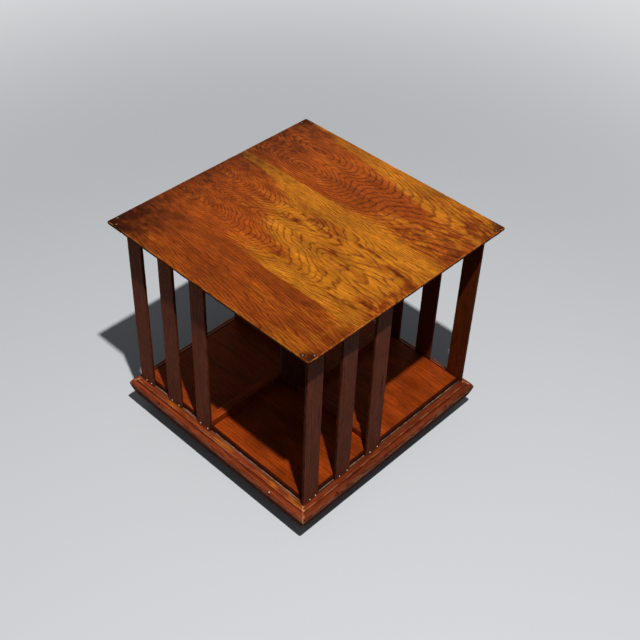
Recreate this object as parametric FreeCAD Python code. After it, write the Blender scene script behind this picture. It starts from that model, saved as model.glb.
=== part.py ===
import FreeCAD, Part
import math
import os

# Revolving desktop bookcase, in millimetres. +Z is up, the origin is on the table top under the axis
# on which the case turns. The case has a front (-Y), a right (+X), a back (+Y) and a left (-X) side,
# and every side is the front side turned by a quarter: three slats stand at its left, seen from
# outside, and the book bay is open at its right. The case turns on a fixed foot.

Vector = FreeCAD.Vector
UP = Vector(0, 0, 1)
AXIS = Vector(0, 0, 0)
SIDES = ("front", "right", "back", "left")

# ---------------------------------------------------------------- driving dimensions: the whole
OVERALL_HEIGHT = 346.0      # table top to the upper face of the top
TOP_SIDE = 370.0            # the square top, edge to edge
TOP_OVERHANG = 16.5         # how far the top stands out past the slats

# ---------------------------------------------------------------- driving dimensions: the case
TOP_THICKNESS = 5.0
TOP_EASE = 1.4              # rounding of the top's upper and lower arrises
TOP_BACK_BOARD = 124.0      # widths of the two outer boards of the top; the middle takes the rest
TOP_FRONT_BOARD = 82.0

SLATS_PER_SIDE = 3
SLAT_WIDTH = 28.0
SLAT_THICKNESS = 4.5
SLAT_PITCH = 61.8
SLAT_EASE = 0.6             # what is taken off a slat's long arrises
SLAT_FIT = 0.1              # room round a slat in its notch

TOP_RAIL_WIDTH = 14.0
TOP_RAIL_DEPTH = 20.0
BEARING_RAIL_WIDTH = 84.0
BEARING_RAIL_HOUSING = 7.0  # how far the bearing rail is let into the top rails

FLOOR_THICKNESS = 22.0
FLOOR_PROUD = 6.0           # the floor's upper face above the edge rails
FLOOR_NOSE = 2.2            # rounding of the floor's upper arris
FLOOR_BACK_BOARD = 123.0    # width of the back board of the floor; the front takes the rest
TONGUE_THICKNESS = 7.0
TONGUE_LENGTH = 6.0
TONGUE_FIT = 0.1

RAIL_WEB = 8.0              # wood left in an edge rail under the slat notches
RAIL_EASE = 0.6

DIVIDER_WIDTH = 12.0
DIVIDER_HEIGHT = 12.0
DIVIDER_EASE = 1.0
SCRIBE_GAP = 0.3            # between a divider's end and the column

COLUMN_RADIUS = 34.0
COLUMN_BORE = 14.5
COLUMN_HOUSING = 4.0        # how deep the column's ends are let in
COLUMN_FIT = 0.1

CLEAT_WIDTH = 25.0
CLEAT_DEPTH = 11.0
CLEAT_FROM_AXIS = 96.0
CLEAT_EDGE_GAP = 10.0       # from a cleat's end to the edge rail
CLEAT_CHAMFER = 3.0

# ---------------------------------------------------------------- driving dimensions: base moulding
MOULDING_HEIGHT = 37.0
MOULDING_REACH = 13.8       # from the slats' outer face to the widest edge
BAND_RUN = 5.4              # the upper hollow band: how far out, and how far down
BAND_FALL = 4.0
BAND_HOLLOW = 0.5
QUIRK_DROP = 1.5            # the small step below the band
QUIRK_RUN = 0.7
NOSE_FALL = 11.6            # from the moulding's top to its widest edge
NOSE_FLAT = 1.2
TOE_REACH = 5.4             # from the slats' outer face to the moulding's lower edge
TOE_SWELL = 0.9             # how much the long lower curve swells

# ---------------------------------------------------------------- driving dimensions: nails, screws
NAIL_SHANK = 1.3            # cut brads: square in the shank and in the head
NAIL_HEAD = 2.3
NAIL_HEAD_RISE = 0.5
NAIL_LENGTH = 16.0
NAIL_FIT = 0.04
SLAT_NAIL_INSET = (8.0, 23.0)   # across a slat, from its left edge
SLAT_NAIL_BELOW_FLOOR = 3.2     # below the floor's upper face
SLAT_NAIL_BELOW_TOP = 9.0       # below the top's lower face
CORNER_NAIL_FROM_EDGE = 4.5
CORNER_NAIL_FROM_CORNER = 14.0
CORNER_NAIL_LENGTH = 4.0
MOULDING_NAIL_FROM_END = 67.0
MOULDING_NAIL_BELOW_TOP = 8.2
MOULDING_NAIL_LENGTH = 20.0
MOULDING_NAIL_SET = 0.9     # how deep its head is set into the nose
CLEAT_NAIL_LENGTH = 20.0
CLEAT_NAIL_FROM_END = 40.0

SCREW_RADIUS = 1.8
SCREW_HEAD_RADIUS = 3.6
SCREW_HEAD_HEIGHT = 2.2
SCREW_LENGTH = 14.0
SCREW_FIT = 0.1

# ---------------------------------------------------------------- driving dimensions: the swivel
SPINDLE_RADIUS = 7.0
SPINDLE_TIP_CHAMFER = 1.5
SPINDLE_TIP_BELOW_TOP = 6.0
RUNNING_FIT = 0.05          # radial, between the spindle and what turns on it
SEAT_FIT = 0.03             # radial, between pieces that are pressed together
THRUST_GAP = 0.2            # between the thrust washer and the bearing plate

FLANGE_RADIUS = 42.0
FLANGE_THICKNESS = 4.0
BOSS_RADIUS = 15.0
BOSS_GUSSET = 3.0           # the sloped ring at the boss's root
FLANGE_SCREW_CIRCLE = 31.0
WASHER_RADIUS = 14.0
WASHER_THICKNESS = 2.0

PLATE_SIDE = 74.0
PLATE_THICKNESS = 3.0
PLATE_CORNER = 8.0          # its corners are cut off
PLATE_SCREW_INSET = 9.0

BUSH_RADIUS = 10.0
BUSH_FLANGE_RADIUS = 13.5
BUSH_FLANGE = 2.0

# ---------------------------------------------------------------- driving dimensions: the foot
FOOT_REACH = 148.0          # from the axis to an arm's end
FOOT_ARM_WIDTH = 40.0
FOOT_ARM_THICKNESS = 18.0
FOOT_ARM_TIP = 11.0         # an arm's thickness at its end
FOOT_ARM_SLOPE = 60.0       # how far in from the end the slope starts
FOOT_TURN = 45.0            # degrees: the arms point at the case's corners
FOOT_LAP_FIT = 0.1
BUTTON_RADIUS = 12.0
BUTTON_HEIGHT = 5.0
BUTTON_CHAMFER = 1.5
BUTTON_FROM_END = 20.0

# ---------------------------------------------------------------- worked out: plan
TOP_HALF = TOP_SIDE / 2
OUTER = TOP_HALF - TOP_OVERHANG             # the slats' outer faces
INNER = OUTER - SLAT_THICKNESS              # the slats' inner faces, and the floor's edges
NOTCH_START = -OUTER
BAY_EDGE = NOTCH_START + (SLATS_PER_SIDE - 1) * SLAT_PITCH + SLAT_WIDTH
FLOOR_JOINT = INNER - FLOOR_BACK_BOARD

# ---------------------------------------------------------------- worked out: heights
ARM_BOTTOM = BUTTON_HEIGHT
ARM_TOP = ARM_BOTTOM + FOOT_ARM_THICKNESS
CASE_BOTTOM = ARM_TOP - 1.0                 # the case hangs a little over the foot's arms
RAIL_TOP = CASE_BOTTOM + MOULDING_HEIGHT
FLOOR_TOP = RAIL_TOP + FLOOR_PROUD
FLOOR_BOTTOM = FLOOR_TOP - FLOOR_THICKNESS
PLATE_BOTTOM = FLOOR_BOTTOM - PLATE_THICKNESS
WASHER_TOP = PLATE_BOTTOM - THRUST_GAP
BOSS_TOP = WASHER_TOP - WASHER_THICKNESS
FLANGE_TOP = ARM_TOP + FLANGE_THICKNESS
SLAT_BOTTOM = CASE_BOTTOM + RAIL_WEB
TOP_BOTTOM = OVERALL_HEIGHT - TOP_THICKNESS
TOP_RAIL_BOTTOM = TOP_BOTTOM - TOP_RAIL_DEPTH
FLOOR_NAIL_Z = FLOOR_TOP - SLAT_NAIL_BELOW_FLOOR
TOP_NAIL_Z = TOP_BOTTOM - SLAT_NAIL_BELOW_TOP


# ---------------------------------------------------------------- helpers
def block(x0, x1, y0, y1, z0, z1):
    """A box between two corners."""
    return Part.makeBox(x1 - x0, y1 - y0, z1 - z0, Vector(x0, y0, z0))


def cylinder(radius, z0, z1, x=0.0, y=0.0):
    """An upright cylinder."""
    return Part.makeCylinder(radius, z1 - z0, Vector(x, y, z0), UP)


def quarter(shape, side):
    """A copy of a front-side shape, turned to the given side."""
    copy = shape.copy()
    copy.rotate(AXIS, UP, 90 * SIDES.index(side))
    return copy


def edges_along(shape, direction, keep=lambda point: True):
    """The shape's straight edges that run along a direction, at places that keep(point) accepts."""
    found = []
    for edge in shape.Edges:
        if not isinstance(edge.Curve, Part.Line):
            continue
        if abs(edge.Curve.Direction.dot(direction)) < 0.999:
            continue
        if keep(edge.CenterOfMass):
            found.append(edge)
    return found


def eased(shape, size, direction, keep=lambda point: True):
    """The shape with the chosen straight arrises taken off, as with a pass of a plane."""
    return shape.makeChamfer(size, edges_along(shape, direction, keep))


def square_bar(width, z0, z1):
    """An upright bar of square section about Z."""
    half = width / 2
    return block(-half, half, -half, half, z0, z1)


def nail(length):
    """A cut brad along -Z: its head stands on z = 0, its shank goes down from there."""
    head = square_bar(NAIL_HEAD, 0, NAIL_HEAD_RISE)
    return head.fuse(square_bar(NAIL_SHANK, -length, 0)).removeSplitter()


def nail_hole(length):
    """The hole that takes a brad, a little wider and longer, with room above for a head that is set in."""
    room = square_bar(NAIL_HEAD + 2 * NAIL_FIT, 0, 2 * NAIL_HEAD)
    return room.fuse(square_bar(NAIL_SHANK + 2 * NAIL_FIT, -length - NAIL_FIT, 0))


def screw():
    """A cheese-headed wood screw along -Z: its head stands on z = 0, its shank goes down from there."""
    head = cylinder(SCREW_HEAD_RADIUS, 0, SCREW_HEAD_HEIGHT)
    return head.fuse(cylinder(SCREW_RADIUS, -SCREW_LENGTH, 0)).removeSplitter()


def screw_hole():
    """The hole that takes a screw's shank, a little wider and longer."""
    return cylinder(SCREW_RADIUS + SCREW_FIT, -SCREW_LENGTH - SCREW_FIT, SCREW_FIT)


def placed(shape, point, tilt_axis=None, tilt=0.0):
    """A copy of a shape that is tilted about its origin, then moved to a point."""
    copy = shape.copy()
    if tilt_axis is not None:
        copy.rotate(AXIS, tilt_axis, tilt)
    copy.translate(point)
    return copy


def driven_up(shape, points):
    """A fastener that is driven up from below, at each point."""
    return [placed(shape, point, Vector(1, 0, 0), 180) for point in points]


def without(shape, cutters):
    """The shape with a list of cutters taken away."""
    return shape.cut(cutters) if cutters else shape


# ---------------------------------------------------------------- where the fasteners go
def slat_left_edges():
    """The left edge of each slat of the front side."""
    return [NOTCH_START + index * SLAT_PITCH for index in range(SLATS_PER_SIDE)]


def slat_nail_points():
    """Front-side nails through the slats, into the floor below and the top rail above.

    The first nail of the corner slat keeps as far from the floor's end as it does from its own edge.
    """
    points = []
    for left in slat_left_edges():
        for inset in SLAT_NAIL_INSET:
            x = max(left + inset, -INNER + SLAT_NAIL_INSET[0])
            points += [Vector(x, -OUTER, FLOOR_NAIL_Z), Vector(x, -OUTER, TOP_NAIL_Z)]
    return points


def moulding_nail_points():
    """Front-side nails through the moulding's rounded nose."""
    x = OUTER + MOULDING_REACH - MOULDING_NAIL_FROM_END
    z = RAIL_TOP - MOULDING_NAIL_BELOW_TOP
    return [Vector(sign * x, MOULDING_NAIL_SET - nose_reach(z), z) for sign in (-1, 1)]


def corner_nail_points():
    """Two nails near each corner of the top, one beside each edge."""
    near = TOP_HALF - CORNER_NAIL_FROM_EDGE
    along = TOP_HALF - CORNER_NAIL_FROM_CORNER
    corner = (Vector(near, -along, OVERALL_HEIGHT), Vector(along, -near, OVERALL_HEIGHT))
    return [FreeCAD.Rotation(UP, 90 * turn).multVec(point) for turn in range(4) for point in corner]


def on_all_sides(shape, points):
    """A fastener that points out of the front side, at each point and on all four sides."""
    front = [placed(shape, point, Vector(1, 0, 0), 90) for point in points]
    return [quarter(piece, side) for side in SIDES for piece in front]


def slat_nail_holes():
    return on_all_sides(nail_hole(NAIL_LENGTH), slat_nail_points())


def moulding_nail_holes():
    return on_all_sides(nail_hole(MOULDING_NAIL_LENGTH), moulding_nail_points())


def cleat_nail_points():
    """Three nails up through each cleat, one in its middle and one towards each end."""
    reach = INNER - CLEAT_EDGE_GAP - CLEAT_NAIL_FROM_END
    below = FLOOR_BOTTOM - CLEAT_DEPTH
    return [Vector(sx * CLEAT_FROM_AXIS, y, below) for sx in (-1, 1) for y in (-reach, 0, reach)]


def plate_screw_points():
    """Four screws up through the bearing plate, one near each of its corners."""
    reach = PLATE_SIDE / 2 - PLATE_SCREW_INSET
    return [Vector(sx * reach, sy * reach, PLATE_BOTTOM) for sx in (-1, 1) for sy in (-1, 1)]


def flange_screw_points():
    """Four screws down through the flange, one into each half of an arm."""
    first = Vector(FLANGE_SCREW_CIRCLE, 0, FLANGE_TOP)
    return [FreeCAD.Rotation(UP, FOOT_TURN + 90 * turn).multVec(first) for turn in range(4)]


def holes_from_below():
    """The holes for what holds the cleats and the bearing plate to the floor."""
    return (driven_up(nail_hole(CLEAT_NAIL_LENGTH), cleat_nail_points())
            + driven_up(screw_hole(), plate_screw_points()))


# ---------------------------------------------------------------- the top
def top_boards():
    """The square top with rounded arrises, sawn into its three boards along the glue joints."""
    top = block(-TOP_HALF, TOP_HALF, -TOP_HALF, TOP_HALF, TOP_BOTTOM, OVERALL_HEIGHT)
    rims = edges_along(top, Vector(1, 0, 0)) + edges_along(top, Vector(0, 1, 0))
    top = top.makeFillet(TOP_EASE, rims)
    top = without(top, [placed(nail_hole(CORNER_NAIL_LENGTH), point) for point in corner_nail_points()])
    cuts = {"front": (-TOP_HALF, -TOP_HALF + TOP_FRONT_BOARD),
            "middle": (-TOP_HALF + TOP_FRONT_BOARD, TOP_HALF - TOP_BACK_BOARD),
            "back": (TOP_HALF - TOP_BACK_BOARD, TOP_HALF)}
    boards = {}
    for name, (y0, y1) in cuts.items():
        strip = block(-TOP_HALF, TOP_HALF, y0, y1, TOP_BOTTOM, OVERALL_HEIGHT)
        boards["top_board_" + name] = top.common(strip)
    return boards


def top_rails():
    """The frame under the top: front and back rails run through, the others are halved into them."""
    inside = INNER - TOP_RAIL_WIDTH
    middle = TOP_RAIL_BOTTOM + TOP_RAIL_DEPTH / 2
    half = BEARING_RAIL_WIDTH / 2
    housing = block(-half, half, -inside - BEARING_RAIL_HOUSING, 0, TOP_RAIL_BOTTOM, TOP_BOTTOM)
    bar = block(-INNER, INNER, -INNER, -inside, TOP_RAIL_BOTTOM, TOP_BOTTOM)
    rails = {}
    for side in SIDES:
        through = side in ("front", "back")
        low, high = (middle, TOP_BOTTOM) if through else (TOP_RAIL_BOTTOM, middle)
        laps = [block(x, x + TOP_RAIL_WIDTH, -INNER, -inside, low, high) for x in (-INNER, inside)]
        rail = without(bar, laps + ([housing] if through else []))
        rails["top_rail_" + side] = without(quarter(rail, side), slat_nail_holes())
    return rails


def bearing_rail():
    """The cross rail that carries the upper bush and holds the column's head."""
    half = BEARING_RAIL_WIDTH / 2
    end = INNER - TOP_RAIL_WIDTH + BEARING_RAIL_HOUSING
    rail = block(-half, half, -end, end, TOP_RAIL_BOTTOM, TOP_BOTTOM)
    cavity = TOP_RAIL_BOTTOM + COLUMN_HOUSING
    return without(rail, slat_nail_holes() + [cylinder(COLUMN_RADIUS + COLUMN_FIT, TOP_RAIL_BOTTOM, cavity),
                                              cylinder(BUSH_RADIUS + SEAT_FIT, TOP_RAIL_BOTTOM, TOP_BOTTOM)])


# ---------------------------------------------------------------- the slats
def slats():
    """Twelve slats, numbered on each side from its left corner."""
    found = {}
    for number, left in enumerate(slat_left_edges(), start=1):
        slat = block(left, left + SLAT_WIDTH, -OUTER, -INNER, SLAT_BOTTOM, TOP_BOTTOM)
        slat = eased(slat, SLAT_EASE, UP)
        for side in SIDES:
            name = "slat_{}_{}".format(side, number)
            found[name] = without(quarter(slat, side), slat_nail_holes())
    return found


# ---------------------------------------------------------------- the base
def edge_rail():
    """The front edge rail, in line with the slats and notched round each of them."""
    rail = block(-OUTER, INNER, -OUTER, -INNER, CASE_BOTTOM, RAIL_TOP)
    notches = [block(left - SLAT_FIT, left + SLAT_WIDTH + SLAT_FIT, -OUTER, -INNER, SLAT_BOTTOM, RAIL_TOP)
               for left in slat_left_edges()]
    rail = without(rail, notches)
    return eased(rail, RAIL_EASE, Vector(1, 0, 0), lambda point: point.z > RAIL_TOP - 0.01)


def edge_rails():
    rail = edge_rail()
    holes = slat_nail_holes() + moulding_nail_holes()
    return {"edge_rail_" + side: without(quarter(rail, side), holes) for side in SIDES}


def nose_arc():
    """The rounded part of the moulding between the quirk and the widest edge, as an arc."""
    start = Vector(0, -OUTER - BAND_RUN - QUIRK_RUN, RAIL_TOP - BAND_FALL - QUIRK_DROP)
    end = Vector(0, -OUTER - MOULDING_REACH, RAIL_TOP - NOSE_FALL)
    chord = end - start
    bulge = Vector(0, chord.z, -chord.y).normalize() * (0.2 * chord.Length)
    return Part.Arc(start, start + chord * 0.5 + bulge, end)


def nose_reach(z):
    """How far out from the axis the rounded nose is at a height."""
    circle = nose_arc().toShape().Curve
    return math.sqrt(circle.Radius ** 2 - (z - circle.Center.z) ** 2) - circle.Center.y


def moulding_profile():
    """The moulding's section: a hollow band, a quirk, a rounded nose and a long curve to its toe."""
    top, bottom = RAIL_TOP, CASE_BOTTOM
    inner_low = Vector(0, -OUTER, bottom)
    inner_top = Vector(0, -OUTER, top)
    band_end = Vector(0, -OUTER - BAND_RUN, top - BAND_FALL)
    band_mid = (inner_top + band_end) * 0.5 - Vector(0, 0, BAND_HOLLOW)
    quirk = band_end - Vector(0, 0, QUIRK_DROP)
    nose_start = quirk - Vector(0, QUIRK_RUN, 0)
    nose = Vector(0, -OUTER - MOULDING_REACH, top - NOSE_FALL)
    flat = nose - Vector(0, 0, NOSE_FLAT)
    toe = Vector(0, -OUTER - TOE_REACH, bottom)
    along = toe - flat
    swell = Vector(0, along.z, -along.y).normalize() * TOE_SWELL
    edges = [Part.LineSegment(inner_low, inner_top), Part.Arc(inner_top, band_mid, band_end),
             Part.LineSegment(band_end, quirk), Part.LineSegment(quirk, nose_start), nose_arc(),
             Part.LineSegment(nose, flat), Part.Arc(flat, flat + along * 0.5 + swell, toe),
             Part.LineSegment(toe, inner_low)]
    return Part.Face(Part.Wire([edge.toShape() for edge in edges]))


def base_mouldings():
    """Four lengths of moulding, mitred at the corners and nailed through the nose."""
    reach = OUTER + MOULDING_REACH
    profile = moulding_profile()
    profile.translate(Vector(-reach, 0, 0))
    length = profile.extrude(Vector(2 * reach, 0, 0))
    far = 2 * reach
    wedge = Part.makePolygon([Vector(0, 0, 0), Vector(-far, -far, 0), Vector(far, -far, 0), Vector(0, 0, 0)])
    mitre = Part.Face(wedge).extrude(Vector(0, 0, OVERALL_HEIGHT))
    mitred = length.common(mitre)
    holes = moulding_nail_holes()
    return {"base_moulding_" + side: without(quarter(mitred, side), holes) for side in SIDES}


def floor_boards():
    """The floor in two boards, tongued together, with a rounded arris all round."""
    floor = block(-INNER, INNER, -INNER, INNER, FLOOR_BOTTOM, FLOOR_TOP)
    rim = edges_along(floor, Vector(1, 0, 0), lambda point: point.z > FLOOR_TOP - 0.01)
    rim += edges_along(floor, Vector(0, 1, 0), lambda point: point.z > FLOOR_TOP - 0.01)
    floor = floor.makeFillet(FLOOR_NOSE, rim)
    cutters = slat_nail_holes() + moulding_nail_holes() + holes_from_below()
    cutters += [cylinder(COLUMN_RADIUS + COLUMN_FIT, FLOOR_TOP - COLUMN_HOUSING, FLOOR_TOP),
                cylinder(COLUMN_BORE, FLOOR_BOTTOM, FLOOR_TOP)]
    floor = without(floor, cutters)
    middle = (FLOOR_BOTTOM + FLOOR_TOP) / 2
    half = TONGUE_THICKNESS / 2
    back = block(-INNER, INNER, FLOOR_JOINT, INNER, FLOOR_BOTTOM, FLOOR_TOP)
    tongue = block(-INNER, INNER, FLOOR_JOINT - TONGUE_LENGTH, FLOOR_JOINT, middle - half, middle + half)
    groove = block(-INNER, INNER, FLOOR_JOINT - TONGUE_LENGTH - TONGUE_FIT, FLOOR_JOINT,
                   middle - half - TONGUE_FIT, middle + half + TONGUE_FIT)
    return {"floor_board_back": floor.common(back.fuse(tongue)),
            "floor_board_front": floor.cut(back.fuse(groove))}


def dividers():
    """Low battens that run in from each side's last slat and stop at the column."""
    batten = block(BAY_EDGE - DIVIDER_WIDTH, BAY_EDGE, -INNER, -abs(BAY_EDGE),
                   FLOOR_TOP, FLOOR_TOP + DIVIDER_HEIGHT)
    batten = eased(batten, DIVIDER_EASE, Vector(0, 1, 0), lambda point: point.z > FLOOR_TOP + 1)
    batten = batten.cut(cylinder(COLUMN_RADIUS + SCRIBE_GAP, FLOOR_TOP, FLOOR_TOP + DIVIDER_HEIGHT))
    return {"divider_" + side: quarter(batten, side) for side in SIDES}


def column():
    """The bored column round the spindle, let into the floor and the bearing rail."""
    low, high = FLOOR_TOP - COLUMN_HOUSING, TOP_RAIL_BOTTOM + COLUMN_HOUSING
    return cylinder(COLUMN_RADIUS, low, high).cut(cylinder(COLUMN_BORE, low, high))


def cleats():
    """Two cleats across the grain of the floor, chamfered along their lower arrises."""
    end = INNER - CLEAT_EDGE_GAP
    found = {}
    for name, sign in (("cleat_left", -1), ("cleat_right", 1)):
        x = sign * CLEAT_FROM_AXIS
        bar = block(x - CLEAT_WIDTH / 2, x + CLEAT_WIDTH / 2, -end, end,
                    FLOOR_BOTTOM - CLEAT_DEPTH, FLOOR_BOTTOM)
        bar = eased(bar, CLEAT_CHAMFER, Vector(0, 1, 0), lambda point: point.z < FLOOR_BOTTOM - 1)
        found[name] = without(bar, holes_from_below())
    return found


# ---------------------------------------------------------------- the swivel
def bearing_plate():
    """The steel plate under the floor that turns on the thrust washer."""
    half = PLATE_SIDE / 2
    plate = block(-half, half, -half, half, PLATE_BOTTOM, FLOOR_BOTTOM)
    plate = eased(plate, PLATE_CORNER, UP)
    bore = cylinder(SPINDLE_RADIUS + RUNNING_FIT, PLATE_BOTTOM, FLOOR_BOTTOM)
    return without(plate, holes_from_below() + [bore])


def top_bush():
    """The flanged brass bush in the bearing rail."""
    low = TOP_RAIL_BOTTOM + COLUMN_HOUSING
    bush = cylinder(BUSH_RADIUS, low, TOP_BOTTOM).fuse(cylinder(BUSH_FLANGE_RADIUS, low - BUSH_FLANGE, low))
    return bush.removeSplitter().cut(cylinder(SPINDLE_RADIUS + RUNNING_FIT, low - BUSH_FLANGE, TOP_BOTTOM))


def spindle():
    """The steel spindle, from the foot's upper face to just under the top."""
    high = TOP_BOTTOM - SPINDLE_TIP_BELOW_TOP
    rod = cylinder(SPINDLE_RADIUS, ARM_TOP, high)
    rim = [edge for edge in rod.Edges if edge.CenterOfMass.z > high - 0.01 and len(edge.Vertexes) == 1]
    return rod.makeChamfer(SPINDLE_TIP_CHAMFER, rim)


def flange_screw_holes():
    return [placed(screw_hole(), point) for point in flange_screw_points()]


def spindle_plate():
    """The cast flange and boss that hold the spindle upright on the foot."""
    boss = cylinder(BOSS_RADIUS, ARM_TOP, BOSS_TOP)
    body = boss.fuse(cylinder(FLANGE_RADIUS, ARM_TOP, FLANGE_TOP)).removeSplitter()
    root = [edge for edge in body.Edges if isinstance(edge.Curve, Part.Circle)
            and abs(edge.Curve.Radius - BOSS_RADIUS) < 0.01 and abs(edge.CenterOfMass.z - FLANGE_TOP) < 0.01]
    body = body.makeChamfer(BOSS_GUSSET, root)
    return without(body, flange_screw_holes() + [cylinder(SPINDLE_RADIUS + SEAT_FIT, ARM_TOP, BOSS_TOP)])


def thrust_washer():
    ring = cylinder(WASHER_RADIUS, BOSS_TOP, WASHER_TOP)
    return ring.cut(cylinder(SPINDLE_RADIUS + RUNNING_FIT, BOSS_TOP, WASHER_TOP))


# ---------------------------------------------------------------- the foot
def foot_arm():
    """One arm along X: round ends in plan, and a long slope down to each end."""
    start = FOOT_REACH - FOOT_ARM_SLOPE
    tip = ARM_BOTTOM + FOOT_ARM_TIP
    side = [(-FOOT_REACH, ARM_BOTTOM), (FOOT_REACH, ARM_BOTTOM), (FOOT_REACH, tip), (start, ARM_TOP),
            (-start, ARM_TOP), (-FOOT_REACH, tip)]
    half = FOOT_ARM_WIDTH / 2
    corners = [Vector(x, -half, z) for x, z in side]
    bar = Part.Face(Part.makePolygon(corners + corners[:1])).extrude(Vector(0, FOOT_ARM_WIDTH, 0))
    centre = FOOT_REACH - half
    plan = block(-centre, centre, -half, half, ARM_BOTTOM, ARM_TOP)
    for x in (-centre, centre):
        plan = plan.fuse(cylinder(half, ARM_BOTTOM, ARM_TOP, x))
    return bar.common(plan.removeSplitter())


def foot_arms():
    """Two arms halved over each other, so that their faces are level, and screwed to the flange."""
    half = FOOT_ARM_WIDTH / 2 + FOOT_LAP_FIT
    middle = (ARM_BOTTOM + ARM_TOP) / 2
    lower = foot_arm().cut(block(-half, half, -half, half, middle, ARM_TOP))
    upper = foot_arm().cut(block(-half, half, -half, half, ARM_BOTTOM, middle))
    upper.rotate(AXIS, UP, 90)
    found = {"foot_arm_lower": lower, "foot_arm_upper": upper}
    for arm in found.values():
        arm.rotate(AXIS, UP, FOOT_TURN)
    return {name: without(arm, flange_screw_holes()) for name, arm in found.items()}


def foot_buttons():
    """Four turned buttons under the arms' ends."""
    button = cylinder(BUTTON_RADIUS, 0, BUTTON_HEIGHT)
    rim = [edge for edge in button.Edges if isinstance(edge.Curve, Part.Circle) and edge.CenterOfMass.z < 1]
    button = button.makeChamfer(BUTTON_CHAMFER, rim)
    found = []
    for index in range(4):
        one = placed(button, Vector(FOOT_REACH - BUTTON_FROM_END, 0, 0))
        one.rotate(AXIS, UP, FOOT_TURN + 90 * index)
        found.append(one)
    return found


# ---------------------------------------------------------------- assembly
def assembly():
    """Every node of the bookcase by name; a group of like fasteners is one node."""
    nodes = {}
    nodes.update(top_boards())
    nodes.update(top_rails())
    nodes["bearing_rail"] = bearing_rail()
    nodes.update(slats())
    nodes.update(edge_rails())
    nodes.update(base_mouldings())
    nodes.update(floor_boards())
    nodes.update(dividers())
    nodes["column"] = column()
    nodes.update(cleats())
    nodes["slat_nails"] = Part.Compound(on_all_sides(nail(NAIL_LENGTH), slat_nail_points()))
    nodes["moulding_nails"] = Part.Compound(on_all_sides(nail(MOULDING_NAIL_LENGTH), moulding_nail_points()))
    corner_nail = nail(CORNER_NAIL_LENGTH)
    nodes["corner_nails"] = Part.Compound([placed(corner_nail, point) for point in corner_nail_points()])
    nodes["cleat_nails"] = Part.Compound(driven_up(nail(CLEAT_NAIL_LENGTH), cleat_nail_points()))
    nodes["bearing_plate"] = bearing_plate()
    nodes["bearing_plate_screws"] = Part.Compound(driven_up(screw(), plate_screw_points()))
    nodes["top_bush"] = top_bush()
    nodes["spindle"] = spindle()
    nodes["spindle_plate"] = spindle_plate()
    flange_screws = [placed(screw(), point) for point in flange_screw_points()]
    nodes["spindle_plate_screws"] = Part.Compound(flange_screws)
    nodes["thrust_washer"] = thrust_washer()
    nodes.update(foot_arms())
    nodes["foot_buttons"] = Part.Compound(foot_buttons())
    return nodes


def main():
    os.makedirs("parts", exist_ok=True)
    nodes = assembly()
    for name, shape in nodes.items():
        shape.exportStep("parts/{}.step".format(name))
        print("{:24s} {:2d} solids {:10.1f} mm3".format(name, len(shape.Solids), shape.Volume))
    print(len(nodes), "nodes")


main()
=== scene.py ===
# %% [markdown]
# # Dressing an old oak bookcase
# This lesson gives a square revolving desktop bookcase its looks: flat-sawn oak under old amber
# varnish, dull stained slats, a worn base moulding and small steel nails. The CAD model is the frame.
# It fixes where each piece is, so nothing here is fitted by eye. A piece whose CAD shape says enough
# keeps its mesh and gets a material. The boards, slats, mouldings and nails that the eye meets first
# are made again as finer surfaces, because a worn arris needs more points than a CAD mesh has.

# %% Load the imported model
import math

import bmesh
import bpy
import numpy as np
from mathutils import Matrix, Vector


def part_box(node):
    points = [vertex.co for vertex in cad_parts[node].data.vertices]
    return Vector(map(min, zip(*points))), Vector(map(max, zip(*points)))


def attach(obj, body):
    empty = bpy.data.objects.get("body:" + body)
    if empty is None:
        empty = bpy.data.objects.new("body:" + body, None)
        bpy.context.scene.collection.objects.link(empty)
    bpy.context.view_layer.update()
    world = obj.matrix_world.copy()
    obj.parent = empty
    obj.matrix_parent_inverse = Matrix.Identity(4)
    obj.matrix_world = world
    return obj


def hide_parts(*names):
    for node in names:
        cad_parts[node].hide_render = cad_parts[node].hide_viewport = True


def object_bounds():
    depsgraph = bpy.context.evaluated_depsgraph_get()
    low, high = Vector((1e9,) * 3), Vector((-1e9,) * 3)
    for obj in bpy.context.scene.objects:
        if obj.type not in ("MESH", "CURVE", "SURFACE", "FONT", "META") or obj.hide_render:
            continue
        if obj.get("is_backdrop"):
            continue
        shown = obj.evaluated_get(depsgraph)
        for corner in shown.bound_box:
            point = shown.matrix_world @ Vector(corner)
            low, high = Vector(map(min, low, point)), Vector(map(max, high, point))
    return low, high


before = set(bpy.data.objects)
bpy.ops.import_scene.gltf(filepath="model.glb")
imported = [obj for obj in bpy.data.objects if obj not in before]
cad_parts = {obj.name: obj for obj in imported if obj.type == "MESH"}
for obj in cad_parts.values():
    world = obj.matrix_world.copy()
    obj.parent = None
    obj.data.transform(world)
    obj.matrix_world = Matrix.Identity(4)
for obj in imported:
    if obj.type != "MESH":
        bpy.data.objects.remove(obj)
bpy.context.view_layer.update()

# %% [markdown]
# Wood is measured in millimetres in a workshop, and Blender works in metres. All shapes below are
# worked out in millimetres and scaled once, when they become a mesh. Sizes that the CAD already holds
# are read from its boxes, so that a change there carries through to here.

# %% Millimetres, and the boxes of the CAD pieces
MM = 0.001


def box_mm(node):
    """The lowest and the highest corner of a CAD node, in millimetres."""
    return tuple(np.array(corner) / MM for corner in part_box(node))


SIDES = ("front", "right", "back", "left")
TOP_Z = box_mm("top_board_middle")[1][2]
TOP_HALF = box_mm("top_board_back")[1][1]
print("the top is", round(2 * TOP_HALF, 1), "mm square, at a height of", round(TOP_Z, 1), "mm")

# %% [markdown]
# Colours are easiest to think of as the screen shows them, as sRGB hex values. A renderer adds light,
# so it needs linear values. One function turns the one into the other: below 0.04045 the curve is a
# straight line, above it a power of 2.4.

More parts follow.
